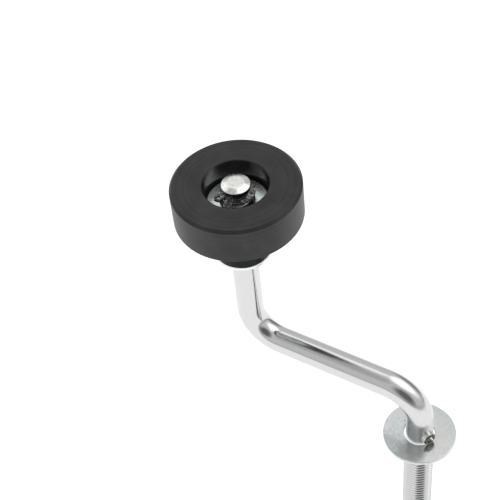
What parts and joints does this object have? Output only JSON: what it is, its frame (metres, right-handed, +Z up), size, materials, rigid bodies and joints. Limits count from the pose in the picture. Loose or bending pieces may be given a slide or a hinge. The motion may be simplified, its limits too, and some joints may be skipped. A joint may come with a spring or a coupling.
{
  "type": "gate wheel",
  "caption": "Gate wheel: a black disc roller on a cranked zinc-plated rod, held by retaining rings, with a threaded stud, washers and a nut to fasten it through a gate's frame.",
  "frame": {"origin": "on the stud's axis, in the underside of the upper clamp washer, where the gate's frame bears", "axes": "+Z up along the stud and the axle, away from the stud's threaded end; the arm runs along -X from the stud to the axle"},
  "size_m": [0.1138, 0.0486, 0.2148],
  "materials": {
    "zinc_plated_rod": "bright zinc-plated round bar, smooth",
    "bright_spring_steel": "rolled spring steel, dark inside",
    "zinc_plated_washer": "stamped, zinc-plated, faintly blue and mottled",
    "black_spring_steel": "black phosphated spring steel, oiled",
    "black_polymer_sleeve": "turned black engineering plastic",
    "black_polymer_wheel": "turned black engineering plastic with fine tool marks"
  },
  "bodies": {
    "crank": {"crank_rod": "zinc_plated_rod", "spring_pin": "bright_spring_steel", "upper_clamp_washer": "zinc_plated_washer", "lower_clamp_washer": "zinc_plated_washer", "spring_washer": "zinc_plated_washer", "clamp_nut": "zinc_plated_washer", "lower_retaining_ring": "black_spring_steel", "upper_retaining_ring": "black_spring_steel"},
    "thrust_washers": {"lower_thrust_washer": "zinc_plated_washer", "upper_thrust_washer": "zinc_plated_washer"},
    "sleeve": {"spacer_sleeve": "black_polymer_sleeve"},
    "wheel": {"wheel": "black_polymer_wheel"}
  },
  "joints": [
    {"name": "axle_float", "type": "slide", "parent": "crank", "child": "thrust_washers", "axis": [0, 0, 1], "range_m": [0, 0.0029]},
    {"name": "sleeve_spin", "type": "hinge", "parent": "thrust_washers", "child": "sleeve", "pos_m": [-0.075, 0, 0.0836], "axis": [0, 0, 1], "continuous": true},
    {"name": "wheel_spin", "type": "hinge", "parent": "thrust_washers", "child": "wheel", "pos_m": [-0.075, 0, 0.1002], "axis": [0, 0, 1], "continuous": true}
  ]
}
